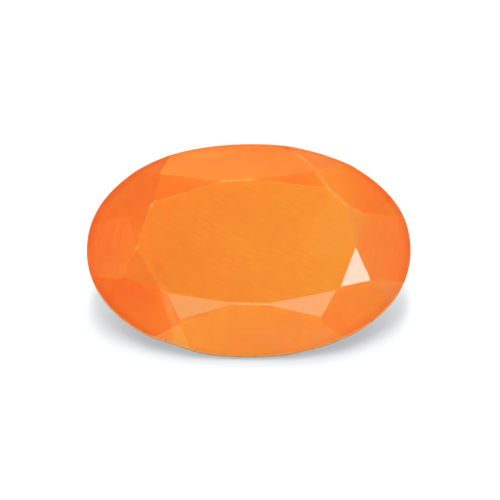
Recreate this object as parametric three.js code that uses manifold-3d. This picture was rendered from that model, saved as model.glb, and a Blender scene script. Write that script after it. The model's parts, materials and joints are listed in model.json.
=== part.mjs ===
// A faceted carnelian: one oval stone, 15 mm long and 10 mm wide, lying on the
// lower side of its pavilion, so that its table looks forward and up.
//
// The stone is drawn in its own frame first: X along its length, Y across it, Z out
// through the table, and zero height where the crown meets the girdle. An oval blank
// is then cut by one flat plane per facet, as a lapidary would cut it, and the group
// at the end turns the finished stone on to its resting facet.

import * as THREE from 'three';
import { mergeVertices } from 'three/addons/utils/BufferGeometryUtils.js';
import Module from 'manifold-3d';

const wasm = await Module();
wasm.setup();

// Driving dimensions, in millimetres and degrees.
const LENGTH = 15;
const WIDTH = 10;
const OUTLINE_POWER = 2.08; // 2 would be a plain ellipse, and more is fuller at the corners
const OUTLINE_STEPS = 240;
const CROWN_HEIGHT = 1.45;
const GIRDLE_THICKNESS = 0.35;
const PAVILION_DEPTH = 4.5; // from the top of the girdle to the keel
const KEEL_LENGTH = 1.5;
const KEEL_SHIFT = -0.1; // the keel sits a little to the left of the middle
const BREAK_BOW = 0.03; // how far the ridge between two break facets stands proud on the girdle
const BLANK_MARGIN = 1; // how far the blank stands past the finished stone, above and below
const CUTTER_SIZE = 40; // each facet is cut by a block this large
const STONE_COLOUR = 0xf28a2e;

// The crown's eight main facets, seen from above and going anticlockwise. Each runs from
// the table down to the girdle. Most were cut a touch too deep and take a short edge off
// the table, between the two corners given here. The two at the ends only touch a corner,
// so they also need the direction in which they fall.
const CROWN_MAINS = [
  { corners: [[4.93, -0.15]], azimuth: -2.2, slope: 30.2 }, // right end
  { corners: [[4.47, 1.87], [3.66, 2.62]], slope: 36.5 }, // upper right
  { corners: [[0.06, 3.01], [-1.19, 2.93]], slope: 35.8 }, // top
  { corners: [[-4.36, 1.95], [-4.57, 1.69]], slope: 34.4 }, // upper left
  { corners: [[-5.18, -0.2]], azimuth: 172.3, slope: 32.2 }, // left end
  { corners: [[-4.07, -2.11], [-3.75, -2.31]], slope: 36.1 }, // lower left
  { corners: [[-0.66, -2.8], [0.69, -2.83]], slope: 34.1 }, // bottom
  { corners: [[4.03, -2.19], [4.23, -2.02]], slope: 35.5 }, // lower right
];

// What lies between each main and the next: a star facet on the table's edge, whose tip
// runs down their ridge, and two break facets that start at a fork lower on that ridge
// and spread to the girdle. Tip and fork say what share of the crown's height they are
// below the table. The girdle angles say where the breaks begin and end on the outline.
const CROWN_GAPS = [
  { tip: 0.17, fork: 0.27, girdle: [16.5, 27] }, // right end to upper right
  { tip: 0.12, fork: 0.15, girdle: [52, 77] }, // upper right to top
  { tip: 0.31, fork: 0.35, girdle: [118, 133] }, // top to upper left
  { tip: 0.25, fork: 0.4, girdle: [155, 168] }, // upper left to left end
  { tip: 0.21, fork: 0.3, girdle: [194, 208] }, // left end to lower left
  { tip: 0.34, fork: 0.43, girdle: [235, 250] }, // lower left to bottom
  { tip: 0.22, fork: 0.37, girdle: [285, 305] }, // bottom to lower right
  { tip: 0.3, fork: 0.38, girdle: [329, 343] }, // lower right to right end
];

// One place, between the lower left and the bottom, where the outline was ground a little flat.
const GIRDLE_FLAT = { azimuth: 251.5, depth: 0.065 };

// The directions in which the pavilion's eight main facets face. The one that faces
// straight along the stone's width, at 270 degrees, is the one that it lies on.
const RESTING_AZIMUTH = 270;
const PAVILION_MAINS = [0, 49, 91, 130, 180, 231, RESTING_AZIMUTH, 311];

// Between each and the next, the girdle angles where the two lower breaks begin and end.
const PAVILION_GAPS = [
  [9, 28], [50, 77], [103, 130], [152, 171],
  [189, 208], [230, 257], [283, 310], [332, 351],
];
const PAVILION_FORK = 0.6; // share of the way down to the keel where the lower breaks meet

const radians = THREE.MathUtils.degToRad;
const UP = new THREE.Vector3(0, 0, 1);

// A point of the oval outline, at an angle that runs round it like a clock hand.
function outlinePoint(angle, z = 0) {
  const power = 2 / OUTLINE_POWER;
  const cos = Math.cos(radians(angle));
  const sin = Math.sin(radians(angle));
  const x = (LENGTH / 2) * Math.sign(cos) * Math.abs(cos) ** power;
  const y = (WIDTH / 2) * Math.sign(sin) * Math.abs(sin) ** power;
  return new THREE.Vector3(x, y, z);
}

// How far the outline reaches in one direction.
function outlineReach(azimuth) {
  const power = OUTLINE_POWER / (OUTLINE_POWER - 1);
  const alongX = Math.abs((LENGTH / 2) * Math.cos(radians(azimuth))) ** power;
  const alongY = Math.abs((WIDTH / 2) * Math.sin(radians(azimuth))) ** power;
  return (alongX + alongY) ** (1 / power);
}

function levelDirection(azimuth) {
  return new THREE.Vector3(Math.cos(radians(azimuth)), Math.sin(radians(azimuth)), 0);
}

function tableCorner([x, y]) {
  return new THREE.Vector3(x, y, CROWN_HEIGHT);
}

// The plane through three points that has the middle of the stone behind it.
function planeThrough(a, b, c) {
  const plane = new THREE.Plane().setFromCoplanarPoints(a, b, c);
  return plane.constant > 0 ? plane.negate() : plane;
}

// The plane that holds one point and falls at a slope in the direction of an azimuth.
function slopingPlane(point, azimuth, slope) {
  const normal = levelDirection(azimuth).multiplyScalar(Math.sin(radians(slope)));
  normal.z = Math.cos(radians(slope));
  return new THREE.Plane().setFromNormalAndCoplanarPoint(normal, point);
}

// A crown main: through its corner, or square to the short edge between its two corners.
function crownMain({ corners, azimuth, slope }) {
  const [start, end] = corners.map(tableCorner);
  if (!end) return slopingPlane(start, azimuth, slope);
  const edge = end.clone().sub(start);
  const fall = THREE.MathUtils.radToDeg(Math.atan2(-edge.x, edge.y));
  return slopingPlane(start, fall, slope);
}

// The point at one height on the ridge where two planes meet.
function ridgePoint(first, second, z) {
  const a = first.normal;
  const b = second.normal;
  const fromFirst = -first.constant - a.z * z;
  const fromSecond = -second.constant - b.z * z;
  const spread = a.x * b.y - a.y * b.x;
  const x = (fromFirst * b.y - fromSecond * a.y) / spread;
  const y = (a.x * fromSecond - b.x * fromFirst) / spread;
  return new THREE.Vector3(x, y, z);
}

// The point of the outline at one angle, at the height where a plane passes it.
function girdlePoint(plane, angle) {
  const point = outlinePoint(angle);
  point.z = -(plane.normal.dot(point) + plane.constant) / plane.normal.z;
  return point;
}

// The two break facets of a gap. Both hold the fork and a point halfway along the gap on
// the outline, a little proud of the flat that would join the fork and the gap's two ends.
function breakPlanes(sides, fork, angles, bow) {
  const ends = sides.map((main, side) => girdlePoint(main, angles[side]));
  const middle = girdlePoint(planeThrough(fork, ...ends), (angles[0] + angles[1]) / 2);
  middle.z += bow;
  return ends.map((end) => planeThrough(fork, end, middle));
}

// Each entry of a ring with the one that follows it, the last with the first.
function neighbours(ring) {
  return ring.map((entry, i) => [entry, ring[(i + 1) % ring.length]]);
}

function crownPlanes() {
  const below = (share) => CROWN_HEIGHT * (1 - share);
  const table = new THREE.Plane(UP, -CROWN_HEIGHT);
  const mains = CROWN_MAINS.map(crownMain);
  const sides = neighbours(mains);
  const edges = neighbours(CROWN_MAINS).map(([main, next]) => [main.corners.at(-1), next.corners[0]]);
  const between = CROWN_GAPS.flatMap(({ tip, fork, girdle }, gap) => [
    planeThrough(...edges[gap].map(tableCorner), ridgePoint(...sides[gap], below(tip))),
    ...breakPlanes(sides[gap], ridgePoint(...sides[gap], below(fork)), girdle, BREAK_BOW),
  ]);
  return [table, ...mains, ...between];
}

// A pavilion main holds the nearer end of the keel and meets the lower edge of the
// girdle where the outline reaches furthest in its direction.
function pavilionMain(azimuth) {
  const outward = levelDirection(azimuth);
  const end = Math.sign(outward.x) * (KEEL_LENGTH / 2);
  const keelEnd = new THREE.Vector3(KEEL_SHIFT + end, 0, -PAVILION_DEPTH);
  const run = outlineReach(azimuth) - outward.dot(keelEnd);
  const rise = PAVILION_DEPTH - GIRDLE_THICKNESS;
  const normal = outward.multiplyScalar(rise).setZ(-run).normalize();
  return new THREE.Plane().setFromNormalAndCoplanarPoint(normal, keelEnd);
}

function pavilionPlanes() {
  const forkHeight = -GIRDLE_THICKNESS - PAVILION_FORK * (PAVILION_DEPTH - GIRDLE_THICKNESS);
  const mains = PAVILION_MAINS.map(pavilionMain);
  const sides = neighbours(mains);
  const breaks = PAVILION_GAPS.flatMap((girdle, gap) =>
    breakPlanes(sides[gap], ridgePoint(...sides[gap], forkHeight), girdle, -BREAK_BOW),
  );
  return [...mains, ...breaks];
}

function flatPlane({ azimuth, depth }) {
  return new THREE.Plane(levelDirection(azimuth), depth - outlineReach(azimuth));
}

// The uncut stone: the oval outline, straight up and down.
function blankGeometry() {
  const shape = new THREE.Shape();
  for (let step = 0; step < OUTLINE_STEPS; step++) {
    const { x, y } = outlinePoint((360 * step) / OUTLINE_STEPS);
    if (step === 0) shape.moveTo(x, y);
    else shape.lineTo(x, y);
  }
  shape.closePath();
  const depth = CROWN_HEIGHT + PAVILION_DEPTH + 2 * BLANK_MARGIN;
  const geometry = new THREE.ExtrudeGeometry(shape, { depth, bevelEnabled: false });
  return geometry.translate(0, 0, -PAVILION_DEPTH - BLANK_MARGIN);
}

// A large block whose one side lies on the plane, with all of it on the outer side.
function cutterGeometry(plane) {
  const block = new THREE.BoxGeometry(CUTTER_SIZE, CUTTER_SIZE, CUTTER_SIZE);
  block.translate(0, 0, CUTTER_SIZE / 2);
  block.applyQuaternion(new THREE.Quaternion().setFromUnitVectors(UP, plane.normal));
  const foot = plane.coplanarPoint(new THREE.Vector3());
  return block.translate(foot.x, foot.y, foot.z);
}

function solidFrom(geometry) {
  geometry.deleteAttribute('normal');
  geometry.deleteAttribute('uv');
  const merged = mergeVertices(geometry);
  const vertProperties = new Float32Array(merged.attributes.position.array);
  const triVerts = new Uint32Array(merged.index.array);
  return new wasm.Manifold(new wasm.Mesh({ numProp: 3, vertProperties, triVerts }));
}

function geometryFrom(solid) {
  const { vertProperties, triVerts } = solid.getMesh();
  const geometry = new THREE.BufferGeometry();
  geometry.setAttribute('position', new THREE.BufferAttribute(vertProperties, 3));
  geometry.setIndex(new THREE.BufferAttribute(triVerts, 1));
  geometry.computeVertexNormals();
  return geometry;
}

function cutStone() {
  let stone = solidFrom(blankGeometry());
  for (const plane of [...crownPlanes(), ...pavilionPlanes(), flatPlane(GIRDLE_FLAT)]) {
    stone = stone.subtract(solidFrom(cutterGeometry(plane)));
  }
  return geometryFrom(stone);
}

const material = new THREE.MeshStandardMaterial({
  color: STONE_COLOUR,
  roughness: 0.2,
  metalness: 0,
  flatShading: true,
});
const stone = new THREE.Mesh(cutStone(), material);
stone.name = 'stone';

// Lay the stone on its resting facet, then centre it over the origin.
const restingNormal = pavilionMain(RESTING_AZIMUTH).normal;
stone.rotation.x = Math.atan2(-restingNormal.y, -restingNormal.z);
stone.updateMatrixWorld(true);
const bounds = new THREE.Box3().setFromObject(stone, true);
const middle = bounds.getCenter(new THREE.Vector3());
stone.position.set(-middle.x, -middle.y, -bounds.min.z);

const group = new THREE.Group();
group.add(stone);

export default group;
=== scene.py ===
"""A faceted carnelian on a plain pale floor.

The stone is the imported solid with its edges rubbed, its nicks knocked out and its polish
added. The mesh code works in millimetres in the table's own frame: X along the stone,
Y across it, Z out through the table, and zero height on the table.
"""

import itertools
import json
import math
import random
from collections import namedtuple

import bmesh
import bpy
import numpy as np
from bpy.props import FloatProperty, FloatVectorProperty, PointerProperty
from mathutils import Matrix, Vector, noise


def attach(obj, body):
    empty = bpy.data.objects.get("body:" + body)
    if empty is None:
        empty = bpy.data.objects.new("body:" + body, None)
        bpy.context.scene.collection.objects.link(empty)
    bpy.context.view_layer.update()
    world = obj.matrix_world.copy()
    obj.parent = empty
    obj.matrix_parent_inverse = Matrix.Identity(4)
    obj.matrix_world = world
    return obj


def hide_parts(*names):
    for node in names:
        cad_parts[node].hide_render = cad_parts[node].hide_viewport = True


bl_info = {
    "name": "Faceted carnelian",
    "version": (1, 0, 0),
    "blender": (4, 5, 0),
    "location": "3D View > Sidebar > Carnelian",
    "description": "Makes one faceted carnelian and the pale stage that it lies on",
    "category": "Object",
}

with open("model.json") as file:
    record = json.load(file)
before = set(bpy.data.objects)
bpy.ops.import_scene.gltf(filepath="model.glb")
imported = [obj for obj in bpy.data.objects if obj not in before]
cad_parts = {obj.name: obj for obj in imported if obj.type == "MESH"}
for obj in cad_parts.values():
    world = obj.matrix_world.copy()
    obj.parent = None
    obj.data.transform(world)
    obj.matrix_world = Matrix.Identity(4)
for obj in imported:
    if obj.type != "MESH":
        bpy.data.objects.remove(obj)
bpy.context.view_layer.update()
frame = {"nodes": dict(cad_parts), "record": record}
MM = 0.001

NODE = "stone"
PIECE = "faceted_carnelian"
CROWN_HEIGHT = 1.45  # from the girdle's upper edge to the table

# Facets, by the way they face: azimuth and slope in degrees, seen from above the table.
# The hue runs from 0, the stone's red, to 1, its yellow, and light scales the colour. Both are for
# the facet's middle, and the runs say how much they rise per millimetre to the right and up. Set
# facet by facet, they are partly the stone's own colour and partly painted light and shade: how
# bright each facet looks under the lamps, and how the pavilion shows through it from inside.
Facet = namedtuple("Facet", "azimuth slope hue light hue_run light_run", defaults=((0, 0), (0, 0)))
FACETS = {
    "table": Facet(0, 0, 0.77, 0.84, (0.04, -0.01), (-0.002, 0.003)),
    "right main": Facet(-2.2, 30.2, 0.40, 0.87, (-0.11, 0.01), (-0.005, -0.003)),
    "upper right main": Facet(47.2, 36.5, 0.41, 0.83, (-0.14, -0.02), (-0.012, 0.004)),
    "top main": Facet(93.7, 35.8, 0.58, 0.82, (-0.03, -0.06), (0.003, -0.032)),
    "upper left main": Facet(141.1, 34.4, 0.21, 0.80, (0.01, -0.02), (0.016, -0.017)),
    "left main": Facet(172.3, 32.2, 0.25, 0.88, (0.08, -0.05), (0.021, 0.005)),
    "lower left main": Facet(-122, 36.1, 0.24, 0.96, (0.05, -0.05), (0.025, 0.005)),
    "bottom main": Facet(-91.3, 34.1, 0.66, 1.05, (-0.01, 0.06), (-0.001, -0.019)),
    "lower right main": Facet(-49.6, 35.5, 0.54, 0.95, (0.01, 0.17), (-0.031, -0.027)),
    "right upper star": Facet(12.8, 16.6, 0.80, 0.79),
    "top right star": Facet(83.8, 12.8, 0.48, 0.85),
    "top left star": Facet(107.2, 19.5, 0.37, 0.84, (0.11, 0.08), (0.0, -0.013)),
    "left upper star": Facet(162.1, 23.8, 0.32, 0.83, (-0.01, 0.01), (-0.021, -0.039)),
    "left lower star": Facet(-149.8, 14, 0.46, 0.85, (-0.08, -0.03), (0.004, -0.003)),
    "bottom left star": Facet(-99, 25, 1.0, 0.84),
    "bottom right star": Facet(-79.2, 17.4, 1.07, 0.82),
    "right lower star": Facet(-20.5, 20.4, 0.5, 0.80),
    "right upper breaks": Facet(38.5, 35.6, 0.36, 0.80),
    "top right breaks": Facet(72.8, 48.2, 0.48, 0.81),
    "top left breaks": Facet(115.2, 43.7, 0.19, 0.77),
    "left upper breaks": Facet(157.5, 34.8, 0.19, 0.84),
    "left lower breaks": Facet(-153, 38.5, 0.17, 0.90),
    "bottom left break, outer": Facet(-112.7, 40.1, 0.64, 1.04),
    "bottom left break, inner": Facet(-108.5, 40.3, 1.15, 1.02),
    "bottom right breaks": Facet(-75.9, 44.8, 0.58, 1.02),
    "right lower breaks": Facet(-34.5, 36.4, 0.56, 0.88),
}
# A face belongs to the facet that looks the same way, to within 4 degrees.
FACET_MATCH = math.cos(math.radians(4))
OTHER_FACES = {
    "pavilion": Facet(None, None, 0.3, 0.95),
    # Painted light and shade on the girdle: lighter towards the front, where it lies in shade, and
    # darker towards the far side.
    "girdle": Facet(None, None, 0.5, 0.98, (0, 0), (0, -0.05)),
    "nick": Facet(None, None, 0.5, 1.1),
}
# The pavilion's facets differ by up to this much in hue and light, each at random.
PAVILION_SPREAD = (0.22, 0.05)
PAVILION_SEED = 3

# How milky some facets look, from 0 to 1. The others are clear.
MILKY = {
    "top main": 0.12, "right main": 0.1, "left main": 0.08, "right upper star": 0.12,
    "bottom main": 0.08, "bottom right breaks": 0.22, "right lower breaks": 0.3,
    "bottom left break, outer": 0.22, "bottom left break, inner": 0.18, "lower right main": 0.1,
}

# The facets whose polish lines show best, with the direction in which they run, seen from
# above the table, in degrees. The others have fainter lines in a direction at random.
POLISH = {"table": -27, "bottom main": 20, "right main": 78, "left main": 80}
FAINT_POLISH = 0.3

# Edges that are rubbed wider than the rest: their width in millimetres and how pale they are.
RUBBED_EDGES = {
    ("bottom main", "table"): (0.14, 0.9),
    ("top main", "table"): (0.1, 1.0),
    ("upper right main", "table"): (0.22, 0.5),
    ("upper right main", "top right star"): (0.22, 0.6),
    ("top main", "top right breaks"): (0.2, 0.5),
    ("table", "top left star"): (0.06, 0.8),
    ("table", "top right star"): (0.05, 0.7),
    ("table", "left upper star"): (0.05, 0.4),
}
RUBBED_RIM = (0.06, 0.25)  # the girdle's own edges
EDGE_WEAR = 0.1  # how pale the other edges are
GIRDLE_WEAR_AND_PAINTED_LIGHT = 0.7  # how pale the girdle itself is: partly its wear, and partly painted light that brightens it where it lies in shade
ROUND_ABOVE_MM = 0.08  # edges rubbed wider than this are rounded, and the rest are flat
ROUND_CUTS = 3

# Nicks in the surface: where, then their length, width and depth in millimetres, and the
# direction in which they run.
Nick = namedtuple("Nick", "x y length width depth angle")
NICKS = (
    Nick(-4.46, 1.86, 0.2, 0.12, 0.05, 60),
    Nick(-4.3, 2.02, 0.1, 0.08, 0.04, 0),
    Nick(-5.16, -0.2, 0.14, 0.1, 0.05, 80),
    Nick(-1.15, 2.97, 0.2, 0.12, 0.04, 0),
    Nick(0.05, 3.0, 0.16, 0.1, 0.04, 0),
    Nick(-1.42, -3.12, 0.14, 0.08, 0.05, 10),
    Nick(3.75, 2.5, 0.2, 0.12, 0.04, -40),
    Nick(3.95, 2.26, 0.14, 0.1, 0.04, -50),
    Nick(-2.25, 1.07, 0.07, 0.06, 0.02, 0),
    Nick(-3.18, -0.2, 0.06, 0.05, 0.02, 0),
)
NICK_SEED = 5
NICK_SPAN = 99  # how far along the noise the nicks may lie
NICK_BUMPS, NICK_GRAIN = 0.3, 1.3  # how uneven a nick is, and how fine that is

POLISH_SEED = 7
POLISH_TURN = 80  # degrees either way for the lines of the facets that POLISH leaves out
POLISH_SHIFT = 90  # how far apart two facets may lie in the lines' noise

# Soft patches of another tone: where on the stone, their length, width and direction, and how
# much more yellow, light and milky they are.
Patch = namedtuple("Patch", "x y length width angle hue light milk")
PATCHES = (
    Patch(-3.64, -3.0, 3.6, 0.6, -71, 0.4, 0.02, 0.4),
    Patch(-1.7, 4.4, 2.6, 0.7, 6, 0.25, 0.0, 0.05),
    Patch(4.0, 0.6, 4.0, 2.8, 80, 0.45, 0.0, 0.12),
    Patch(-0.3, 0.1, 3.4, 2.2, 10, 0.12, 0.0, 0.0),
    Patch(6.2, -1.7, 1.8, 0.9, 8, 0.1, 0.0, 0.15),
    # Painted shade: a thin redder band along the lower edge of the bottom left star, standing in
    # for shade inside the stone.
    Patch(-2.35, -3.3, 1.9, 0.25, 13, -0.3, 0.0, 0.0),
    Patch(-4.5, 1.75, 0.7, 0.3, 50, 0.25, 0.0, 0.2),
    Patch(-4.05, -1.35, 2.4, 0.9, -52, -0.12, -0.02, 0.0),
    Patch(1.84, 4.72, 0.6, 0.26, -12, -0.5, -0.12, 0.0),
    Patch(1.5, -4.2, 6.4, 1.9, 5, -0.12, 0.01, 0.16),
)

# The stone's outline as a patch, with painted shade at its rim: how much redder and darker the rim
# is made. The rim takes this share of the way out from the middle.
PAINTED_RIM_SHADE = Patch(0.0, 0.0, 15.0, 10.1, 0, -0.12, -0.07, 0.0)
RIM_SHADE_SHARE = 0.06

# What varies inside the stone and on its polish: how many blobs there are per millimetre along
# each axis, how detailed and how rough they are, and how far they shift the hue and the light.
Grain = namedtuple("Grain", "scale detail roughness hue light", defaults=(0.0, 0.0))
CLOUD = Grain((0.5, 0.5, 0.5), 2.0, 0.5, 0.2, 0.04)
MOTTLE = Grain((2.2, 2.2, 2.2), 3.0, 0.5, 0.16, 0.03)
LINES = Grain((0.8, 8.0, 1.0), 4.0, 0.7, 0.22, 0.1)
WEAR_GRAIN = Grain((2.5, 2.5, 2.5), 3.0, 0.5)
WEAR_BREAKS = 3.0  # how far the wear breaks up along an edge
LINES_BREAKS = 4.0  # how far the cloud strengthens the polish lines here and fades them there
WORN_SHARE = 0.5  # the share of the worn colour where the wear is 1

ROUGHNESS = 0.2  # of the polish
LINES_ROUGHNESS = 0.1  # how much the polish lines add to it or take away
WORN_ROUGHNESS = 0.2  # what wear adds to it
LINES_BUMP = 0.25  # the share of the lines' depth that shows
LINES_DEPTH = 0.02 * MM
GLOSS = 0.36
GLOW_SPREAD = (1.0, 0.35, 0.12)  # how far red, green and blue soak in, in glow depths

BLOCK_MM = 12.0  # half the side of the block that the stone is cut from
COPLANAR_MM = 0.0005  # triangles nearer than this to one plane are one facet
SLIVER_MM2 = 0.0002  # twice the area under which a triangle is left out
CUT_MM = 1e-7  # corners nearer than this to a cut lie on it
UPRIGHT = 0.05  # the girdle's faces look up or down less than this
UPWARD = 0.01  # the crown's faces look up more than this
PATCH_REACH = 1e6  # patches go this far down, which is right through the stone
SHARP = math.radians(2.6)  # the girdle turns by less than this from step to step
MIX_SHARE, MIX_FIRST, MIX_SECOND, MIX_RESULT = 0, 6, 7, 2  # the Mix node's sockets for colours


class Field:
    """A socket of a material, so that sums of what varies over the surface read as sums."""

    def __init__(self, shader, socket):
        self.shader = shader
        self.socket = socket

    def math(self, operation, *values):
        return self.shader.add("Math", {"operation": operation}, dict(enumerate(values)))

    def __add__(self, other):
        return self.math("ADD", self, other)

    __radd__ = __add__

    def __sub__(self, other):
        return self.math("SUBTRACT", self, other)

    def __rsub__(self, other):
        return self.math("SUBTRACT", other, self)

    def __mul__(self, other):
        return self.math("MULTIPLY", self, other)

    def step(self, low, high):
        """0 at low and 1 at high, with a smooth rise between. High may be the lower one."""
        ranges = {"Value": self, "From Min": low, "From Max": high, "To Min": 0.0, "To Max": 1.0}
        return self.shader.add("MapRange", {"interpolation_type": "SMOOTHSTEP"}, ranges)


class Shader:
    """A material and its nodes. add() makes any node from its type, settings and inputs."""

    def __init__(self, owner):
        self.owner = owner
        owner.use_nodes = True
        self.tree = owner.node_tree
        self.tree.nodes.clear()

    def add(self, kind, settings=None, inputs=None, output=0):
        node = self.tree.nodes.new("ShaderNode" + kind)
        for name, value in (settings or {}).items():
            setattr(node, name, value)
        for name, value in (inputs or {}).items():
            if isinstance(value, Field):
                self.tree.links.new(value.socket, node.inputs[name])
            else:
                node.inputs[name].default_value = value
        return Field(self, node.outputs[output] if node.outputs else None)

    def blend(self, share, first, second):
        """Two colours mixed. Share 0 gives the first and 1 the second."""
        settings = {"data_type": "RGBA", "clamp_factor": True}
        inputs = {MIX_SHARE: share, MIX_FIRST: first, MIX_SECOND: second}
        return self.add("Mix", settings, inputs, output=MIX_RESULT)

    def attribute(self, name, output="Fac"):
        settings = {"attribute_type": "GEOMETRY", "attribute_name": name}
        return self.add("Attribute", settings, output=output)

    def noise(self, vector, grain):
        """Noise from -0.5 to 0.5, stretched as the grain says."""
        inputs = {"Vector": vector, "Scale": grain.scale}
        stretched = self.add("Mapping", {"vector_type": "POINT"}, inputs)
        inputs = {
            "Vector": stretched, "Scale": 1.0, "Detail": grain.detail, "Roughness": grain.roughness,
        }
        return self.add("TexNoise", {"noise_dimensions": "3D"}, inputs) - 0.5

    def nearness(self, place, patch, inner=0.0):
        """1 in the middle of a patch, falling smoothly to 0 from its inner share to its rim."""
        inputs = {
            "Vector": place,
            "Location": (patch.x, patch.y, 0.0),
            "Rotation": (0.0, 0.0, math.radians(patch.angle)),
            "Scale": (patch.length / 2, patch.width / 2, PATCH_REACH),
        }
        offset = self.add("Mapping", {"vector_type": "TEXTURE"}, inputs)
        length = {"operation": "LENGTH"}
        return self.add("VectorMath", length, {"Vector": offset}, output="Value").step(1.0, inner)


# The stone's shape

def table_frame():
    """The table's frame as a matrix, from millimetres in it to metres in the scene."""
    table = next(m for m in frame["record"]["mounts"] if m["name"] == "table")
    axis = Vector(table["axis"])
    along = Vector((1, 0, 0))
    turn = Matrix((along, axis.cross(along), axis)).transposed().to_4x4()
    return Matrix.Translation(table["pos_m"]) @ turn @ Matrix.Scale(MM, 4)


def facing(facet):
    a, s = math.radians(facet.azimuth), math.radians(facet.slope)
    return np.array((math.cos(a) * math.sin(s), math.sin(a) * math.sin(s), math.cos(s)))


def facet_name(normal):
    matches = {name: normal @ facing(facet) for name, facet in FACETS.items()}
    nearest = max(matches, key=matches.get)
    if matches[nearest] > FACET_MATCH:
        return nearest
    return "girdle" if abs(normal[2]) < UPRIGHT else "pavilion"


class Cut:
    """One plane that bounds the stone, and what is known of the face that it leaves."""

    def __init__(self, name, normal=None, reach=None, wear=0.0, group=None, sides=()):
        self.name, self.normal, self.reach, self.wear = name, normal, reach, wear
        self.facet = FACETS.get(name) or OTHER_FACES.get(name)
        self.group = group or self
        self.sides = sides  # of an edge: (share, cut) for each of the two facets that meet there
        self.middle = np.zeros(3)
        self.own = np.zeros(2)  # what it adds to the hue and the light of its kind

    def tone(self, place):
        """The hue and the light at one place of the face."""
        if self.sides:
            return sum(share * cut.tone(place) for share, cut in self.sides)
        offset = (place - self.middle)[:2]
        facet = self.facet
        runs = np.array((facet.hue_run, facet.light_run))
        return np.array((facet.hue, facet.light)) + runs @ offset + self.own


def cad_cuts():
    """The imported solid's flat facets, in the table's frame."""
    data = frame["nodes"][NODE].data
    data.calc_loop_triangles()
    turn = np.array(table_frame().to_3x3()) / MM
    corners = np.array([v.co for v in data.vertices]) - np.array(table_frame().translation)
    corners = corners / MM @ turn
    triangles = corners[[t.vertices[:] for t in data.loop_triangles]]
    normals = np.cross(triangles[:, 1] - triangles[:, 0], triangles[:, 2] - triangles[:, 0])
    areas = np.linalg.norm(normals, axis=1)
    rng = random.Random(PAVILION_SEED)
    cuts = []
    for i in np.argsort(-areas):
        if areas[i] < SLIVER_MM2:
            break
        if not any((np.abs(triangles[i] @ c.normal - c.reach) < COPLANAR_MM).all() for c in cuts):
            normal = normals[i] / areas[i]
            cut = Cut(facet_name(normal), normal, float((triangles[i] @ normal).mean()))
            if cut.name == "girdle":
                # The girdle's paleness is partly wear and partly painted light on its shaded side.
                cut.wear, cut.group = GIRDLE_WEAR_AND_PAINTED_LIGHT, "girdle"
            if cut.name == "pavilion":
                cut.own = np.array([rng.uniform(-most, most) for most in PAVILION_SPREAD])
            cuts.append(cut)
    return cuts


class CutStone:
    """A convex stone, cut from a block by one plane at a time. Its faces are lists of corner
    numbers, each kept with the cut that made it."""

    def __init__(self, half):
        self.corners = [np.array(c, float) for c in itertools.product((-half, half), repeat=3)]
        block = [(0, 1, 3, 2), (4, 6, 7, 5), (0, 4, 5, 1), (2, 3, 7, 6), (0, 2, 6, 4), (1, 5, 7, 3)]
        self.faces = [(list(face), None) for face in block]

    def cut(self, cut):
        past = np.array(self.corners) @ cut.normal - cut.reach
        if past.max() < CUT_MM:
            return
        split, kept, rim = {}, [], set()
        for face, owner in self.faces:
            left = []
            for here, after in zip(face, face[1:] + face[:1]):
                if past[here] < CUT_MM:
                    left.append(here)
                ends = past[here], past[after]
                if min(ends) < -CUT_MM and max(ends) > CUT_MM:
                    key = (min(here, after), max(here, after))
                    if key not in split:
                        share = past[here] / (past[here] - past[after])
                        split[key] = len(self.corners)
                        first, second = self.corners[here], self.corners[after]
                        self.corners.append(first * (1 - share) + second * share)
                    left.append(split[key])
            if len(left) > 2:
                kept.append((left, owner))
                rim.update(c for c in left if c >= len(past) or past[c] > -CUT_MM)
        self.faces = kept
        if len(rim) > 2:
            self.faces.append((self.around(rim, cut.normal), cut))

    def around(self, rim, normal):
        """The corners of a new face in order, anticlockwise seen from outside."""
        rim = sorted(rim)
        offsets = np.array([self.corners[c] for c in rim])
        offsets -= offsets.mean(axis=0)
        first = offsets[0] - normal * (offsets[0] @ normal)
        angles = np.arctan2(offsets @ np.cross(normal, first), offsets @ first)
        return [rim[i] for i in np.argsort(angles)]

    def edges(self):
        """(corner, cut, cut) for each edge."""
        seen = {}
        for face, cut in self.faces:
            for here, after in zip(face, face[1:] + face[:1]):
                seen.setdefault((min(here, after), max(here, after)), []).append(cut)
        return [(corners[0], *cuts) for corners, cuts in seen.items() if len(cuts) == 2]

    def find_middles(self):
        """Tells each cut where the middle of its face is. The girdle has one middle for all."""
        for face, cut in self.faces:
            if cut.name == "girdle":
                continue
            first, *others = [self.corners[c] for c in face]
            fans = list(zip(others, others[1:]))
            areas = [np.linalg.norm(np.cross(a - first, b - first)) for a, b in fans]
            middles = [(first + a + b) / 3 for a, b in fans]
            cut.middle = np.average(middles, axis=0, weights=areas)

    def height(self, x, y):
        """How high the surface lies above a point of the table's plane."""
        up = [c for _, c in self.faces if c.normal[2] > UPWARD]
        return min((c.reach - c.normal[0] * x - c.normal[1] * y) / c.normal[2] for c in up)

    def mesh(self):
        """The stone as a mesh whose faces give their cut's number, and the cuts in that order."""
        cuts = [cut for _, cut in self.faces]
        mesh = bmesh.new()
        kinds = mesh.faces.layers.int.new("kind")
        used = sorted({c for face, _ in self.faces for c in face})
        corners = {c: mesh.verts.new(self.corners[c]) for c in used}
        for kind, (face, _) in enumerate(self.faces):
            mesh.faces.new([corners[c] for c in face])[kinds] = kind
        return mesh, cuts


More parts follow.
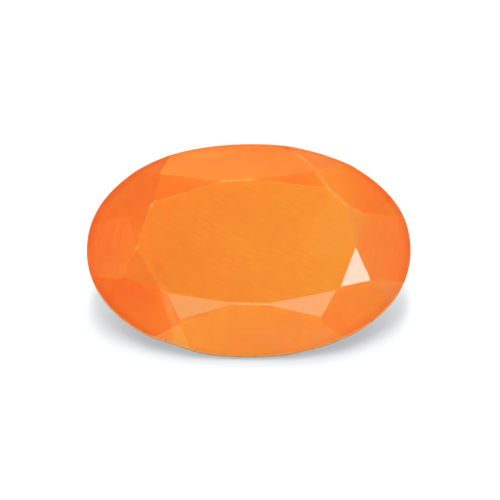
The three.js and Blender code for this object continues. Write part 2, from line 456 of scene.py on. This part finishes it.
def rubbed(corner, first, second, width, wear):
    """The cuts that rub one edge: a flat for a narrow one, several round a curve for a wide one."""
    bend = math.acos(min(1.0, first.normal @ second.normal))
    middle = (first.normal + second.normal) / np.linalg.norm(first.normal + second.normal)
    radius = width / 2 / math.tan(bend / 2)
    centre = corner - middle * radius / math.cos(bend / 2)
    count = ROUND_CUTS if width > ROUND_ABOVE_MM else 1
    group = "rim" if "girdle" in (first.name, second.name) else (first.name, second.name)
    cuts = []
    for i in range(count):
        share = (i + 1) / (count + 1)
        near, far = math.sin((1 - share) * bend), math.sin(share * bend)
        normal = first.normal * near + second.normal * far
        normal /= np.linalg.norm(normal)
        sides = ((1 - share, first), (share, second))
        cuts.append(Cut("edge", normal, centre @ normal + radius, wear, group, sides))
    return cuts


def nicks_mesh(stone, kind):
    """Lumps to be taken out of the surface, one for each nick."""
    mesh = bmesh.new()
    kinds = mesh.faces.layers.int.new("kind")
    rng = random.Random(NICK_SEED)
    for nick in NICKS:
        thick = nick.width / 2
        made = bmesh.ops.create_icosphere(mesh, subdivisions=2, radius=1.0)["verts"]
        seed = Vector((rng.uniform(0, NICK_SPAN), 0, 0))
        turn = Matrix.Rotation(math.radians(nick.angle), 3, "Z")
        place = Vector((nick.x, nick.y, stone.height(nick.x, nick.y) + thick - nick.depth))
        for vert in made:
            bumpy = vert.co * (1 + NICK_BUMPS * noise.noise(vert.co * NICK_GRAIN + seed))
            size = Vector((nick.length / 2, nick.width / 2, thick))
            vert.co = turn @ Vector(b * s for b, s in zip(bumpy, size)) + place
    for face in mesh.faces:
        face[kinds] = kind
    return mesh


class CARNELIAN_OT_make_stone(bpy.types.Operator):
    """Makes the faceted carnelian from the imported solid"""

    bl_idname = "carnelian.make_stone"
    bl_label = "Make the stone"

    def execute(self, context):
        settings = context.scene.carnelian_stone
        shape = CutStone(BLOCK_MM)
        for each in cad_cuts():
            shape.cut(each)
        shape.find_middles()
        self.rub(shape, settings.edge_wear / MM)
        mesh, cuts = shape.mesh()
        cuts.append(Cut("nick", wear=settings.nick_wear))
        stone = self.piece(context, PIECE, mesh)
        lumps = self.piece(context, "lumps", nicks_mesh(shape, len(cuts) - 1))
        self.take_out(context, stone, lumps)
        self.check(stone.data)
        self.mark(stone.data, cuts)
        stone.data.transform(table_frame())
        stone.data.materials.append(carnelian(settings))
        stone.visible_diffuse = False  # the shadow is plain grey, with no glow from the stone
        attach(stone, "root")
        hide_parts(NODE)
        return {"FINISHED"}

    def rub(self, shape, width):
        corners = list(shape.corners)
        for corner, first, second in shape.edges():
            if first.normal @ second.normal > math.cos(SHARP):
                continue
            pair = {first.name, second.name}
            plain = RUBBED_RIM if "girdle" in pair else (width, EDGE_WEAR)
            rubbing = next((r for names, r in RUBBED_EDGES.items() if set(names) == pair), plain)
            for each in rubbed(corners[corner], first, second, *rubbing):
                shape.cut(each)

    def piece(self, context, name, mesh):
        data = bpy.data.meshes.new(name)
        mesh.to_mesh(data)
        mesh.free()
        piece = bpy.data.objects.new(name, data)
        context.scene.collection.objects.link(piece)
        return piece

    def take_out(self, context, stone, lumps):
        modifier = stone.modifiers.new("nicks", "BOOLEAN")
        modifier.operation = "DIFFERENCE"
        modifier.solver = "EXACT"
        modifier.object = lumps
        context.view_layer.update()
        whole = stone.data
        evaluated = stone.evaluated_get(context.evaluated_depsgraph_get())
        stone.data = bpy.data.meshes.new_from_object(evaluated)
        stone.data.name = PIECE
        stone.modifiers.clear()
        spent = lumps.data
        bpy.data.objects.remove(lumps)
        for data in (whole, spent):
            bpy.data.meshes.remove(data)

    def check(self, data):
        mesh = bmesh.new()
        mesh.from_mesh(data)
        closed = all(edge.is_manifold for edge in mesh.edges)
        mesh.free()
        if not closed:
            raise RuntimeError("the worn stone isn't closed")

    def mark(self, data, cuts):
        """Writes what the material reads, and keeps the facets' edges sharp."""
        kinds = [item.value for item in data.attributes["kind"].data]
        self.mark_faces(data, cuts, kinds)
        self.mark_corners(data, cuts, kinds)
        groups = {}
        for face in data.polygons:
            face.use_smooth = True
            for key in face.edge_keys:
                groups.setdefault(key, set()).add(cuts[kinds[face.index]].group)
        for edge in data.edges:
            edge.use_edge_sharp = len(groups[edge.key]) > 1

    def mark_faces(self, data, cuts, kinds):
        """How worn, streaked and milky each face is."""
        rows = {
            "wear": [cut.wear for cut in cuts],
            "streaks": [1.0 if cut.name in POLISH else FAINT_POLISH for cut in cuts],
            "milk": [MILKY.get(cut.name, 0.0) for cut in cuts],
        }
        for name, values in rows.items():
            layer = data.attributes.new(name, "FLOAT", "FACE")
            layer.data.foreach_set("value", [values[k] for k in kinds])

    def mark_corners(self, data, cuts, kinds):
        """Each corner's place, its place along and across the polish lines, and its tone, which
        holds the facets' painted light and shade.
        """
        place = data.attributes.new("place", "FLOAT_VECTOR", "POINT")
        place.data.foreach_set("vector", [c for v in data.vertices for c in v.co])
        rng = random.Random(POLISH_SEED)
        turns = [POLISH.get(cut.name, rng.uniform(-POLISH_TURN, POLISH_TURN)) for cut in cuts]
        runs = [math.radians(turn) for turn in turns]
        shifts = [rng.uniform(0, POLISH_SHIFT) for _ in cuts]
        polish = [0.0] * (3 * len(data.loops))
        tones = [(0.0, 0.0)] * len(data.loops)
        for face in data.polygons:
            kind = kinds[face.index]
            if cuts[kind].name == "girdle":
                run = Vector((0, 0, 1)).cross(face.normal)
            else:
                run = Vector((math.cos(runs[kind]), math.sin(runs[kind]), 0))
            run = (run - face.normal * run.dot(face.normal)).normalized()
            across = face.normal.cross(run)
            for loop in face.loop_indices:
                at = data.vertices[data.loops[loop].vertex_index].co
                polish[3 * loop:3 * loop + 3] = (at.dot(run), at.dot(across), shifts[kind])
                tones[loop] = cuts[kind].tone(np.array(at))
        layer = data.attributes.new("polish", "FLOAT_VECTOR", "CORNER")
        layer.data.foreach_set("vector", polish)
        for name, values in zip(("hue", "light"), zip(*tones)):
            data.attributes.new(name, "FLOAT", "CORNER").data.foreach_set("value", values)


def carnelian(settings):
    """The stone's material: cloudy orange, painted light and shade on the facets and rim, fine
    polish lines and paler rubbed edges.
    """
    shader = Shader(bpy.data.materials.new("carnelian"))
    place = shader.attribute("place", "Vector")
    wear = shader.attribute("wear") * (1.0 + shader.noise(place, WEAR_GRAIN) * WEAR_BREAKS)
    cloud = shader.noise(place, CLOUD)
    mottle = shader.noise(place, MOTTLE)
    lines = shader.noise(shader.attribute("polish", "Vector"), LINES)
    lines = lines * shader.attribute("streaks") * (1.0 + cloud * LINES_BREAKS)
    # hue and light carry each facet's painted light and shade as well as the stone's colour.
    hue, light, milk = (shader.attribute(name) for name in ("hue", "light", "milk"))
    for field, grain in ((cloud, CLOUD), (mottle, MOTTLE), (lines, LINES)):
        hue = hue + field * grain.hue
        light = light + field * grain.light
    for patch in PATCHES:
        near = shader.nearness(place, patch)
        hue = hue + near * patch.hue
        light = light + near * patch.light
        milk = milk + near * patch.milk
    # Painted shade: redder and darker towards the rim.
    rim = 1.0 - shader.nearness(place, PAINTED_RIM_SHADE, 1.0 - RIM_SHADE_SHARE)
    hue = hue + rim * PAINTED_RIM_SHADE.hue
    light = light + rim * PAINTED_RIM_SHADE.light
    body = shader.blend(hue, (*settings.red_body, 1), (*settings.yellow_body, 1))
    body = shader.blend(milk, body, (*settings.milky_body, 1))
    body = shader.blend(wear * WORN_SHARE, body, (*settings.worn_edge, 1))
    body = shader.add("VectorMath", {"operation": "SCALE"}, {"Vector": body, "Scale": light})
    bump = {"Strength": LINES_BUMP, "Distance": LINES_DEPTH, "Height": lines}
    surface = shader.add("BsdfPrincipled", {"subsurface_method": "RANDOM_WALK"}, {
        "Base Color": body,
        "Roughness": ROUGHNESS + lines * LINES_ROUGHNESS + wear * WORN_ROUGHNESS,
        "Normal": shader.add("Bump", {}, bump),
        "IOR": settings.ior,
        "Specular IOR Level": GLOSS,
        "Subsurface Weight": settings.cloudiness,
        "Subsurface Radius": GLOW_SPREAD,
        "Subsurface Scale": settings.glow_depth,
    })
    shader.add("OutputMaterial", {}, {"Surface": surface})
    return shader.owner


# The stage

CAMERA_ELEVATION = math.radians(39.36)
PIXELS_PER_MM = 21.6
FRAME_PIXELS = 500
GIRDLE_PIXEL = (248.7, 249.7)  # where the middle of the girdle's upper edge stands in the picture
SENSOR_MM = 36.0
CLIP = (0.01, 10)  # the nearest and the farthest that the camera sees

FLOOR_RADIUS, FLOOR_SIDES = 1.5, 128
FLOOR_GAP = 0.01 * MM  # the floor lies this far under the stone

# The lights: where they stand, in degrees and metres, their size, and the only rays that see
# them. The azimuth goes anticlockwise from the front.
Softbox = namedtuple("Softbox", "azimuth elevation distance size rays")
SOFTBOXES = {
    "overhead": Softbox(-5, 80, 0.5, (0.105, 0.4), "diffuse"),
    "back": Softbox(0, 118, 0.5, (1.19, 0.21), "diffuse"),
    "front": Softbox(0, 30, 0.6, (0.5, 0.3), "diffuse"),
    "glint": Softbox(49.3, 34.6, 0.5, (0.16, 0.16), "glossy"),
    "front_panel": Softbox(0, 22.5, 0.5, (0.3, 0.22), "glossy"),
}
LIT_POINT = Vector((0, 0, 0.003))  # what they face
LAMP_ENERGY = 4  # of one square metre of a lamp with a radiance of 1


def softbox(scene, name, box, radiance):
    """A soft light that faces the stone."""
    a, e = math.radians(box.azimuth), math.radians(box.elevation)
    away = Vector((math.sin(a) * math.cos(e), -math.cos(a) * math.cos(e), math.sin(e)))
    data = bpy.data.lights.new(name, "AREA")
    data.shape = "RECTANGLE"
    data.size, data.size_y = box.size
    data.energy = LAMP_ENERGY * data.size * data.size_y * radiance
    data.cycles.use_multiple_importance_sampling = box.rays == "glossy"
    lamp = bpy.data.objects.new(name, data)
    lamp.location = away * box.distance + LIT_POINT
    lamp.rotation_mode = "QUATERNION"
    lamp.rotation_quaternion = away.to_track_quat("Z", "Y")
    lamp.visible_camera = False
    lamp.visible_diffuse = box.rays == "diffuse"
    lamp.visible_glossy = lamp.visible_transmission = box.rays == "glossy"
    scene.collection.objects.link(lamp)


class CARNELIAN_OT_make_stage(bpy.types.Operator):
    """Makes the floor, the soft lights and the camera"""

    bl_idname = "carnelian.make_stage"
    bl_label = "Make the stage"

    def execute(self, context):
        scene = context.scene
        settings = scene.carnelian_stage
        scene.view_settings.view_transform = "Standard"
        self.world(scene, settings)
        self.floor(scene, settings)
        for name, box in SOFTBOXES.items():
            softbox(scene, name.replace("_", " "), box, getattr(settings, name))
        self.camera(scene, settings)
        return {"FINISHED"}

    def world(self, scene, settings):
        """An even room, which shows dimmer in the polish and is white behind the floor."""
        scene.world = bpy.data.worlds.new("studio")
        shader = Shader(scene.world)
        colour = (*settings.room, 1)
        for ray, seen in (("Is Camera Ray", 1.0), ("Is Glossy Ray", settings.reflected_room)):
            kind = shader.add("LightPath", output=ray)
            colour = shader.blend(kind, colour, (seen, seen, seen, 1))
        surface = shader.add("Background", {}, {"Color": colour})
        shader.add("OutputWorld", {}, {"Surface": surface})

    def floor(self, scene, settings):
        mesh = bmesh.new()
        bmesh.ops.create_circle(mesh, cap_ends=True, segments=FLOOR_SIDES, radius=FLOOR_RADIUS)
        data = bpy.data.meshes.new("floor")
        mesh.to_mesh(data)
        mesh.free()
        floor = bpy.data.objects.new("floor", data)
        floor.location.z = -FLOOR_GAP
        scene.collection.objects.link(floor)
        shader = Shader(bpy.data.materials.new("pale floor"))
        dimmed = [settings.reflected_floor * part for part in settings.floor_colour]
        glossy = shader.add("LightPath", output="Is Glossy Ray")
        colour = shader.blend(glossy, (*settings.floor_colour, 1), (*dimmed, 1))
        surface = shader.add("BsdfDiffuse", {}, {"Color": colour})
        shader.add("OutputMaterial", {}, {"Surface": surface})
        data.materials.append(shader.owner)

    def camera(self, scene, settings):
        data = bpy.data.cameras.new("camera")
        data.lens = settings.lens
        data.sensor_width = SENSOR_MM
        data.clip_start, data.clip_end = CLIP
        width = FRAME_PIXELS / PIXELS_PER_MM * MM
        back = Vector((0, -math.cos(CAMERA_ELEVATION), math.sin(CAMERA_ELEVATION)))
        up = Vector((0, math.sin(CAMERA_ELEVATION), math.cos(CAMERA_ELEVATION)))
        right = Vector((1, 0, 0))
        off = [(FRAME_PIXELS / 2 - pixel) / PIXELS_PER_MM * MM for pixel in GIRDLE_PIXEL]
        aim = table_frame() @ Vector((0, 0, -CROWN_HEIGHT)) + right * off[0] - up * off[1]
        camera = bpy.data.objects.new("camera", data)
        camera.location = aim + back * (width * data.lens / data.sensor_width)
        camera.rotation_mode = "QUATERNION"
        camera.rotation_quaternion = back.to_track_quat("Z", "Y")
        scene.collection.objects.link(camera)
        scene.camera = camera


class StoneSettings(bpy.types.PropertyGroup):
    """The stone's wear and colours"""

    edge_wear: FloatProperty(
        name="Edge wear", description="How wide a facet's edges are rubbed",
        default=0.03 * MM, min=0.001 * MM, subtype="DISTANCE", unit="LENGTH", precision=6,
    )
    nick_wear: FloatProperty(
        name="Paleness of nicks", description="How far the nicks tend to the worn colour",
        default=0.8, min=0, max=1, subtype="FACTOR",
    )
    red_body: FloatVectorProperty(
        name="Red body", description="The stone's colour where it is reddest",
        default=(0.92, 0.14, 0.003), subtype="COLOR", min=0, max=1,
    )
    yellow_body: FloatVectorProperty(
        name="Yellow body", description="The stone's colour where it is yellowest",
        default=(0.96, 0.35, 0.022), subtype="COLOR", min=0, max=1,
    )
    milky_body: FloatVectorProperty(
        name="Milky body", description="The stone's colour where it is milkiest",
        default=(0.94, 0.34, 0.11), subtype="COLOR", min=0, max=1,
    )
    worn_edge: FloatVectorProperty(
        name="Worn edge", description="The colour that a rubbed edge tends to",
        default=(0.98, 0.47, 0.14), subtype="COLOR", min=0, max=1,
    )
    ior: FloatProperty(
        name="IOR", description="How strongly the stone bends light", default=1.54, min=1, max=2,
    )
    cloudiness: FloatProperty(
        name="Cloudiness", description="How much light scatters inside the stone",
        default=1.0, min=0, max=1, subtype="FACTOR",
    )
    glow_depth: FloatProperty(
        name="Glow depth", description="How deep light soaks in before it turns back",
        default=1.0 * MM, min=0, subtype="DISTANCE", unit="LENGTH", precision=5,
    )


class StageSettings(bpy.types.PropertyGroup):
    """The floor's colour, the lights and the lens"""

    floor_colour: FloatVectorProperty(
        name="Floor", description="The floor's colour",
        default=(0.9, 0.9, 0.9), subtype="COLOR", min=0, max=1,
    )
    reflected_floor: FloatProperty(
        name="Reflected floor", description="How much of the floor shows in the polish",
        default=0.5, min=0, max=1, subtype="FACTOR",
    )
    room: FloatVectorProperty(
        name="Room", description="The light from all round",
        default=(0.43, 0.44, 0.455), min=0, subtype="COLOR",
    )
    reflected_room: FloatProperty(
        name="Reflected room", description="How bright the room shows in the polish",
        default=0.55, min=0,
    )
    overhead: FloatProperty(
        name="Overhead", description="How bright the overhead light is", default=7.0, min=0,
    )
    back: FloatProperty(
        name="Back", description="How bright the light behind is", default=1.96, min=0,
    )
    front: FloatProperty(
        name="Front", description="How bright the front light is", default=1.2, min=0,
    )
    glint: FloatProperty(
        name="Glint", description="How bright the white glint is", default=15, min=0,
    )
    front_panel: FloatProperty(
        name="Front panel", description="How bright the panel is that the lower facets reflect",
        default=3.5, min=0,
    )
    lens: FloatProperty(
        name="Lens", description="Focal length", default=400, min=50, subtype="DISTANCE_CAMERA",
    )


class CARNELIAN_PT_panel(bpy.types.Panel):
    """The stone's and the stage's sizes and colours"""

    bl_idname = "CARNELIAN_PT_panel"
    bl_label = "Faceted carnelian"
    bl_space_type = "VIEW_3D"
    bl_region_type = "UI"
    bl_category = "Carnelian"

    def draw(self, context):
        for operator, settings in (
            (CARNELIAN_OT_make_stone, context.scene.carnelian_stone),
            (CARNELIAN_OT_make_stage, context.scene.carnelian_stage),
        ):
            box = self.layout.box()
            for name in settings.bl_rna.properties.keys():
                if name not in ("rna_type", "name"):
                    box.prop(settings, name)
            box.operator(operator.bl_idname)


CLASSES = (
    StoneSettings,
    StageSettings,
    CARNELIAN_OT_make_stone,
    CARNELIAN_OT_make_stage,
    CARNELIAN_PT_panel,
)


def register():
    for each in CLASSES:
        bpy.utils.register_class(each)
    bpy.types.Scene.carnelian_stone = PointerProperty(type=StoneSettings)
    bpy.types.Scene.carnelian_stage = PointerProperty(type=StageSettings)


def unregister():
    del bpy.types.Scene.carnelian_stone
    del bpy.types.Scene.carnelian_stage
    for each in reversed(CLASSES):
        bpy.utils.unregister_class(each)


def main():
    register()
    bpy.ops.carnelian.make_stone()
    bpy.ops.carnelian.make_stage()


if __name__ == "__main__":
    main()
